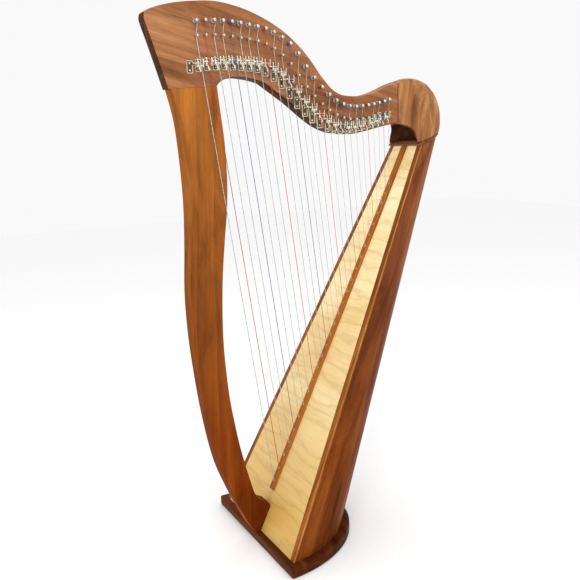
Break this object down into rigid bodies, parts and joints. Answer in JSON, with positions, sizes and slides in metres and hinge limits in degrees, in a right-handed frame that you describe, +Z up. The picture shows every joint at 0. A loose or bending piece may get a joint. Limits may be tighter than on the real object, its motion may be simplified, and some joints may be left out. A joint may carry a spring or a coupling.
{
  "type": "lever harp",
  "caption": "Free-standing lever harp: curved neck and pillar, round-backed tapering sound box on a flat base, strings, and a turning semitone lever on each string.",
  "frame": {"origin": "on the base plate's underside, on its centre line, 116 mm behind its straight front edge", "axes": "+Z up; +X from the pillar to the sound box; the strings and levers are on the -Y side of the neck"},
  "size_m": [0.6698, 0.348, 1.0947],
  "materials": {
    "neck_wood": "satin oiled",
    "pillar_wood": "satin oiled",
    "base_wood": "satin oiled",
    "box_wood": "satin oiled",
    "trim_wood": "satin oiled",
    "board_wood": "clear satin",
    "inner_wood": "bare",
    "steel": "plain",
    "lever_brass": "polished",
    "string": "smooth nylon"
  },
  "bodies": {
    "harp_frame": {"base_plate": "base_wood", "pillar": "pillar_wood", "neck": "neck_wood", "shoulder_block": "neck_wood", "collar_moulding": "box_wood", "soundbox_shell": "box_wood", "soundboard": "board_wood", "string_rib": "trim_wood", "edge_trim_right": "trim_wood", "edge_trim_left": "trim_wood", "liner_right": "inner_wood", "liner_left": "inner_wood", "bottom_block": "inner_wood", "top_block": "inner_wood", "heel_block": "inner_wood", "back_hoop_1": "inner_wood", "back_hoop_2": "inner_wood", "back_hoop_3": "inner_wood", "string_set": "string", "pillar_bolt": "steel", "shoulder_bolt": "steel", "base_screw_1": "steel", "base_screw_2": "steel", "base_screw_3": "steel", "base_screw_4": "steel", "neck_pillar_dowel_1": "inner_wood", "neck_pillar_dowel_2": "inner_wood", "neck_shoulder_dowel_1": "inner_wood", "neck_shoulder_dowel_2": "inner_wood"},
    "lever_01_b": {"lever_01_b": "lever_brass"},
    "lever_02_c": {"lever_02_c": "lever_brass"},
    "lever_03_d": {"lever_03_d": "lever_brass"},
    "lever_04_e": {"lever_04_e": "lever_brass"},
    "lever_05_f": {"lever_05_f": "lever_brass"},
    "lever_06_g": {"lever_06_g": "lever_brass"},
    "lever_07_a": {"lever_07_a": "lever_brass"},
    "lever_08_b": {"lever_08_b": "lever_brass"},
    "lever_09_c": {"lever_09_c": "lever_brass"},
    "lever_10_d": {"lever_10_d": "lever_brass"},
    "lever_11_e": {"lever_11_e": "lever_brass"},
    "lever_12_f": {"lever_12_f": "lever_brass"},
    "lever_13_g": {"lever_13_g": "lever_brass"},
    "lever_14_a": {"lever_14_a": "lever_brass"},
    "lever_15_b": {"lever_15_b": "lever_brass"},
    "lever_16_c": {"lever_16_c": "lever_brass"},
    "lever_17_d": {"lever_17_d": "lever_brass"},
    "lever_18_e": {"lever_18_e": "lever_brass"},
    "lever_19_f": {"lever_19_f": "lever_brass"},
    "lever_20_g": {"lever_20_g": "lever_brass"},
    "lever_21_a": {"lever_21_a": "lever_brass"},
    "lever_22_b": {"lever_22_b": "lever_brass"},
    "lever_23_c": {"lever_23_c": "lever_brass"},
    "lever_24_d": {"lever_24_d": "lever_brass"},
    "lever_25_e": {"lever_25_e": "lever_brass"},
    "lever_26_f": {"lever_26_f": "lever_brass"},
    "lever_27_g": {"lever_27_g": "lever_brass"}
  },
  "joints": [
    {"name": "lever_01_b_turn", "type": "hinge", "parent": "harp_frame", "child": "lever_01_b", "pos_m": [-0.18838, -0.021, 0.98045], "axis": [-1, 0, 0], "range_deg": [0, 95]},
    {"name": "lever_02_c_turn", "type": "hinge", "parent": "harp_frame", "child": "lever_02_c", "pos_m": [-0.17129, -0.021, 0.98331], "axis": [-1, 0, 0], "range_deg": [0, 95]},
    {"name": "lever_03_d_turn", "type": "hinge", "parent": "harp_frame", "child": "lever_03_d", "pos_m": [-0.1542, -0.021, 0.98572], "axis": [-1, 0, 0], "range_deg": [0, 95]},
    {"name": "lever_04_e_turn", "type": "hinge", "parent": "harp_frame", "child": "lever_04_e", "pos_m": [-0.13712, -0.021, 0.98709], "axis": [-1, 0, 0], "range_deg": [0, 95]},
    {"name": "lever_05_f_turn", "type": "hinge", "parent": "harp_frame", "child": "lever_05_f", "pos_m": [-0.12004, -0.021, 0.9875], "axis": [-1, 0, 0], "range_deg": [0, 95]},
    {"name": "lever_06_g_turn", "type": "hinge", "parent": "harp_frame", "child": "lever_06_g", "pos_m": [-0.10297, -0.021, 0.98745], "axis": [-1, 0, 0], "range_deg": [0, 95]},
    {"name": "lever_07_a_turn", "type": "hinge", "parent": "harp_frame", "child": "lever_07_a", "pos_m": [-0.08591, -0.021, 0.98701], "axis": [-1, 0, 0], "range_deg": [0, 95]},
    {"name": "lever_08_b_turn", "type": "hinge", "parent": "harp_frame", "child": "lever_08_b", "pos_m": [-0.06884, -0.021, 0.98596], "axis": [-1, 0, 0], "range_deg": [0, 95]},
    {"name": "lever_09_c_turn", "type": "hinge", "parent": "harp_frame", "child": "lever_09_c", "pos_m": [-0.05179, -0.021, 0.98366], "axis": [-1, 0, 0], "range_deg": [0, 95]},
    {"name": "lever_10_d_turn", "type": "hinge", "parent": "harp_frame", "child": "lever_10_d", "pos_m": [-0.03476, -0.021, 0.97752], "axis": [-1, 0, 0], "range_deg": [0, 95]},
    {"name": "lever_11_e_turn", "type": "hinge", "parent": "harp_frame", "child": "lever_11_e", "pos_m": [-0.01775, -0.021, 0.96799], "axis": [-1, 0, 0], "range_deg": [0, 95]},
    {"name": "lever_12_f_turn", "type": "hinge", "parent": "harp_frame", "child": "lever_12_f", "pos_m": [-0.00077, -0.021, 0.95484], "axis": [-1, 0, 0], "range_deg": [0, 95]},
    {"name": "lever_13_g_turn", "type": "hinge", "parent": "harp_frame", "child": "lever_13_g", "pos_m": [0.01618, -0.021, 0.93606], "axis": [-1, 0, 0], "range_deg": [0, 95]},
    {"name": "lever_14_a_turn", "type": "hinge", "parent": "harp_frame", "child": "lever_14_a", "pos_m": [0.03312, -0.021, 0.91702], "axis": [-1, 0, 0], "range_deg": [0, 95]},
    {"name": "lever_15_b_turn", "type": "hinge", "parent": "harp_frame", "child": "lever_15_b", "pos_m": [0.05009, -0.021, 0.90177], "axis": [-1, 0, 0], "range_deg": [0, 95]},
    {"name": "lever_16_c_turn", "type": "hinge", "parent": "harp_frame", "child": "lever_16_c", "pos_m": [0.06707, -0.021, 0.88899], "axis": [-1, 0, 0], "range_deg": [0, 95]},
    {"name": "lever_17_d_turn", "type": "hinge", "parent": "harp_frame", "child": "lever_17_d", "pos_m": [0.08408, -0.021, 0.87884], "axis": [-1, 0, 0], "range_deg": [0, 95]},
    {"name": "lever_18_e_turn", "type": "hinge", "parent": "harp_frame", "child": "lever_18_e", "pos_m": [0.10066, -0.021, 0.87141], "axis": [-1, 0, 0], "range_deg": [0, 95]},
    {"name": "lever_19_f_turn", "type": "hinge", "parent": "harp_frame", "child": "lever_19_f", "pos_m": [0.11684, -0.021, 0.86723], "axis": [-1, 0, 0], "range_deg": [0, 95]},
    {"name": "lever_20_g_turn", "type": "hinge", "parent": "harp_frame", "child": "lever_20_g", "pos_m": [0.1326, -0.021, 0.86579], "axis": [-1, 0, 0], "range_deg": [0, 95]},
    {"name": "lever_21_a_turn", "type": "hinge", "parent": "harp_frame", "child": "lever_21_a", "pos_m": [0.14794, -0.021, 0.86648], "axis": [-1, 0, 0], "range_deg": [0, 95]},
    {"name": "lever_22_b_turn", "type": "hinge", "parent": "harp_frame", "child": "lever_22_b", "pos_m": [0.16285, -0.021, 0.8687], "axis": [-1, 0, 0], "range_deg": [0, 95]},
    {"name": "lever_23_c_turn", "type": "hinge", "parent": "harp_frame", "child": "lever_23_c", "pos_m": [0.17734, -0.021, 0.87142], "axis": [-1, 0, 0], "range_deg": [0, 95]},
    {"name": "lever_24_d_turn", "type": "hinge", "parent": "harp_frame", "child": "lever_24_d", "pos_m": [0.19139, -0.021, 0.87445], "axis": [-1, 0, 0], "range_deg": [0, 95]},
    {"name": "lever_25_e_turn", "type": "hinge", "parent": "harp_frame", "child": "lever_25_e", "pos_m": [0.20501, -0.021, 0.87775], "axis": [-1, 0, 0], "range_deg": [0, 95]},
    {"name": "lever_26_f_turn", "type": "hinge", "parent": "harp_frame", "child": "lever_26_f", "pos_m": [0.2182, -0.021, 0.88165], "axis": [-1, 0, 0], "range_deg": [0, 95]},
    {"name": "lever_27_g_turn", "type": "hinge", "parent": "harp_frame", "child": "lever_27_g", "pos_m": [0.23096, -0.021, 0.8859], "axis": [-1, 0, 0], "range_deg": [0, 95]}
  ]
}
